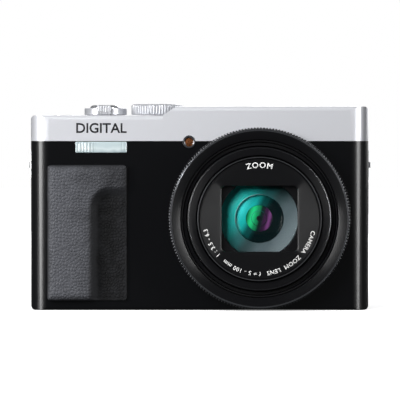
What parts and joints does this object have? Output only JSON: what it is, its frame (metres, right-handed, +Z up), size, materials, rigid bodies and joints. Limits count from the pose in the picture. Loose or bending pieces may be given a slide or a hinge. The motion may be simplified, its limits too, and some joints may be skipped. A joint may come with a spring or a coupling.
{
  "type": "compact digital camera",
  "caption": "Compact digital camera with a collapsing zoom lens, a lens control ring, top dials, an eye-level viewfinder and a flip-up rear screen.",
  "frame": {"origin": "centre of the tripod socket's mouth, in the plane of the base", "axes": "+X to the right seen from the front, -Y towards the subject along the lens, +Z up"},
  "size_m": [0.1138, 0.0412, 0.0682],
  "materials": {
    "black_paint": "satin black paint on a light-alloy shell",
    "silver_paint": "fine satin silver paint",
    "grip_rubber": "leather-grained soft grip",
    "ring_black": "black anodised, satin, fine axial ribs",
    "barrel_black": "fine matt black",
    "dark_key": "satin dark grey",
    "coated_glass": "clear, blue-green anti-reflection coating",
    "clear_window": "ribbed clear diffuser",
    "screen_black": "polished black cover glass",
    "steel": "plain machined steel",
    "chrome": "polished",
    "amber": "tinted amber lens in a bright bezel",
    "board_green": "solder-masked board",
    "sensor": "cover glass over silicon",
    "nylon": "natural nylon",
    "battery_shell": "moulded case"
  },
  "bodies": {
    "body": {"front_cover": "black_paint", "top_cover": "silver_paint", "rear_cover": "black_paint", "grip_pad": "grip_rubber", "thumb_pad": "grip_rubber", "flash_window": "clear_window", "flash_unit": "chrome", "flash_capacitor": "battery_shell", "af_lamp": "amber", "strap_lugs": "steel", "tripod_bush": "steel", "battery_holder": "barrel_black", "battery": "battery_shell", "memory_card": "battery_shell", "main_board": "board_green", "connector_sockets": "steel", "speaker_grille": "dark_key", "body_screws": "steel", "hinge_pins": "steel", "image_sensor": "sensor", "lens_base": "barrel_black", "fixed_barrel": "barrel_black", "zoom_motor": "steel", "eyecup": "grip_rubber", "eyepiece_lens": "coated_glass", "finder_display": "screen_black", "screen_brackets": "steel"},
    "control_ring": {"control_ring": "ring_black"},
    "cam_ring": {"cam_ring": "barrel_black"},
    "idler_gear": {"idler_gear": "nylon"},
    "motor_pinion": {"motor_pinion": "nylon"},
    "barrel_outer": {"barrel_outer": "barrel_black"},
    "barrel_middle": {"barrel_middle": "barrel_black"},
    "barrel_front": {"barrel_front": "barrel_black", "name_ring": "barrel_black", "front_lens": "coated_glass"},
    "blade_upper_inner": {"blade_upper_inner": "ring_black"},
    "blade_upper_outer": {"blade_upper_outer": "ring_black"},
    "blade_lower_inner": {"blade_lower_inner": "ring_black"},
    "blade_lower_outer": {"blade_lower_outer": "ring_black"},
    "zoom_group": {"zoom_lens_cell": "barrel_black", "zoom_lens": "coated_glass"},
    "focus_group": {"focus_lens_cell": "barrel_black"},
    "shutter_button": {"shutter_button": "silver_paint"},
    "zoom_lever": {"zoom_lever": "silver_paint"},
    "power_button": {"power_button": "silver_paint"},
    "movie_button": {"movie_button": "silver_paint"},
    "mode_dial": {"mode_dial": "silver_paint"},
    "diopter_dial": {"diopter_dial": "dark_key"},
    "screen_hinge_plate": {"screen_hinge_plate": "steel"},
    "screen": {"screen_frame": "dark_key", "screen_panel": "screen_black", "screen_glass": "screen_black"},
    "control_dial": {"control_dial": "dark_key"},
    "set_button": {"set_button": "dark_key"},
    "play_button": {"play_button": "dark_key"},
    "delete_button": {"delete_button": "dark_key"},
    "battery_door": {"battery_door": "black_paint"},
    "door_lock": {"door_lock": "dark_key"},
    "connector_door": {"connector_door": "black_paint"}
  },
  "joints": [
    {"name": "barrel_outer_slide", "type": "slide", "parent": "body", "child": "barrel_outer", "axis": [0, -1, 0], "range_m": [0, 0.013]},
    {"name": "barrel_middle_slide", "type": "slide", "parent": "barrel_outer", "child": "barrel_middle", "axis": [0, -1, 0], "range_m": [0, 0.016]},
    {"name": "barrel_front_slide", "type": "slide", "parent": "barrel_middle", "child": "barrel_front", "axis": [0, -1, 0], "range_m": [0, 0.016]},
    {"name": "cam_ring_turn", "type": "hinge", "parent": "body", "child": "cam_ring", "pos_m": [0.0196, 0, 0.0304], "axis": [0, -1, 0], "range_deg": [0, 70]},
    {"name": "idler_turn", "type": "hinge", "parent": "body", "child": "idler_gear", "pos_m": [-0.00606, 0, 0.05193], "axis": [0, -1, 0], "continuous": true},
    {"name": "pinion_turn", "type": "hinge", "parent": "body", "child": "motor_pinion", "pos_m": [-0.01405, 0, 0.04903], "axis": [0, -1, 0], "continuous": true},
    {"name": "zoom_group_slide", "type": "slide", "parent": "body", "child": "zoom_group", "axis": [0, -1, 0], "range_m": [0, 0.02]},
    {"name": "focus_group_slide", "type": "slide", "parent": "body", "child": "focus_group", "axis": [0, -1, 0], "range_m": [0, 0.005]},
    {"name": "barrier_close", "type": "slide", "parent": "barrel_front", "child": "blade_upper_inner", "axis": [0, 0, -1], "range_m": [0, 0.01085]},
    {"name": "blade_upper_outer_slide", "type": "slide", "parent": "barrel_front", "child": "blade_upper_outer", "axis": [0, 0, -1], "range_m": [0, 0.0063]},
    {"name": "blade_lower_inner_slide", "type": "slide", "parent": "barrel_front", "child": "blade_lower_inner", "axis": [0, 0, 1], "range_m": [0, 0.01085]},
    {"name": "blade_lower_outer_slide", "type": "slide", "parent": "barrel_front", "child": "blade_lower_outer", "axis": [0, 0, 1], "range_m": [0, 0.0063]},
    {"name": "control_ring_turn", "type": "hinge", "parent": "body", "child": "control_ring", "pos_m": [0.0196, 0, 0.0304], "axis": [0, -1, 0], "continuous": true},
    {"name": "shutter_press", "type": "slide", "parent": "body", "child": "shutter_button", "axis": [0, 0, -1], "range_m": [0, 0.0008], "stiffness_N_per_m": 500},
    {"name": "zoom_lever_turn", "type": "hinge", "parent": "body", "child": "zoom_lever", "pos_m": [-0.0313, -0.0024, 0.066], "axis": [0, 0, 1], "range_deg": [-20, 20], "stiffness_Nm_per_rad": 0.02},
    {"name": "power_press", "type": "slide", "parent": "body", "child": "power_button", "axis": [0, 0, -1], "range_m": [0, 0.0005], "stiffness_N_per_m": 500},
    {"name": "movie_press", "type": "slide", "parent": "body", "child": "movie_button", "axis": [0, 0, -1], "range_m": [0, 0.0004], "stiffness_N_per_m": 500},
    {"name": "mode_dial_turn", "type": "hinge", "parent": "body", "child": "mode_dial", "pos_m": [-0.0142, 0.001, 0.066], "axis": [0, 0, 1], "continuous": true},
    {"name": "diopter_turn", "type": "hinge", "parent": "body", "child": "diopter_dial", "pos_m": [0.0518, 0.0106, 0.0598], "axis": [0, 0, 1], "range_deg": [-150, 150]},
    {"name": "screen_tilt", "type": "hinge", "parent": "body", "child": "screen_hinge_plate", "pos_m": [0, 0.0126, 0.0528], "axis": [1, 0, 0], "range_deg": [0, 180]},
    {"name": "screen_run_out", "type": "slide", "parent": "screen_hinge_plate", "child": "screen", "axis": [0, 0, -1], "range_m": [0, 0.0144]},
    {"name": "control_dial_turn", "type": "hinge", "parent": "body", "child": "control_dial", "pos_m": [-0.0393, 0.013, 0.0195], "axis": [0, 1, 0], "continuous": true},
    {"name": "set_press", "type": "slide", "parent": "body", "child": "set_button", "axis": [0, -1, 0], "range_m": [0, 0.0005], "stiffness_N_per_m": 500},
    {"name": "play_press", "type": "slide", "parent": "body", "child": "play_button", "axis": [0, -1, 0], "range_m": [0, 0.0004], "stiffness_N_per_m": 500},
    {"name": "delete_press", "type": "slide", "parent": "body", "child": "delete_button", "axis": [0, -1, 0], "range_m": [0, 0.0004], "stiffness_N_per_m": 500},
    {"name": "battery_door_swing", "type": "hinge", "parent": "body", "child": "battery_door", "pos_m": [-0.0199, -0.00315, 0.0009], "axis": [0, -1, 0], "range_deg": [0, 100]},
    {"name": "door_lock_slide", "type": "slide", "parent": "battery_door", "child": "door_lock", "axis": [1, 0, 0], "range_m": [0, 0.003]},
    {"name": "connector_door_swing", "type": "hinge", "parent": "body", "child": "connector_door", "pos_m": [-0.0553, 0.0051, 0.0315], "axis": [0, 0, -1], "range_deg": [0, 90]}
  ],
  "couplings": [
    {"joint": "cam_ring_turn", "follows": "barrel_outer_slide", "rad_per_m": 93.979},
    {"joint": "barrel_middle_slide", "follows": "barrel_outer_slide", "ratio": 1.2308},
    {"joint": "barrel_front_slide", "follows": "barrel_outer_slide", "ratio": 1.2308},
    {"joint": "idler_turn", "follows": "barrel_outer_slide", "rad_per_m": -430.74},
    {"joint": "pinion_turn", "follows": "barrel_outer_slide", "rad_per_m": 1033.8},
    {"joint": "zoom_group_slide", "follows": "barrel_outer_slide", "ratio": 1.5385},
    {"joint": "focus_group_slide", "follows": "barrel_outer_slide", "ratio": 0.38462},
    {"joint": "blade_upper_outer_slide", "follows": "barrier_close", "ratio": 0.58065},
    {"joint": "blade_lower_inner_slide", "follows": "barrier_close", "ratio": 1},
    {"joint": "blade_lower_outer_slide", "follows": "barrier_close", "ratio": 0.58065},
    {"joint": "screen_run_out", "follows": "screen_tilt", "m_per_rad": 0.0045837}
  ]
}
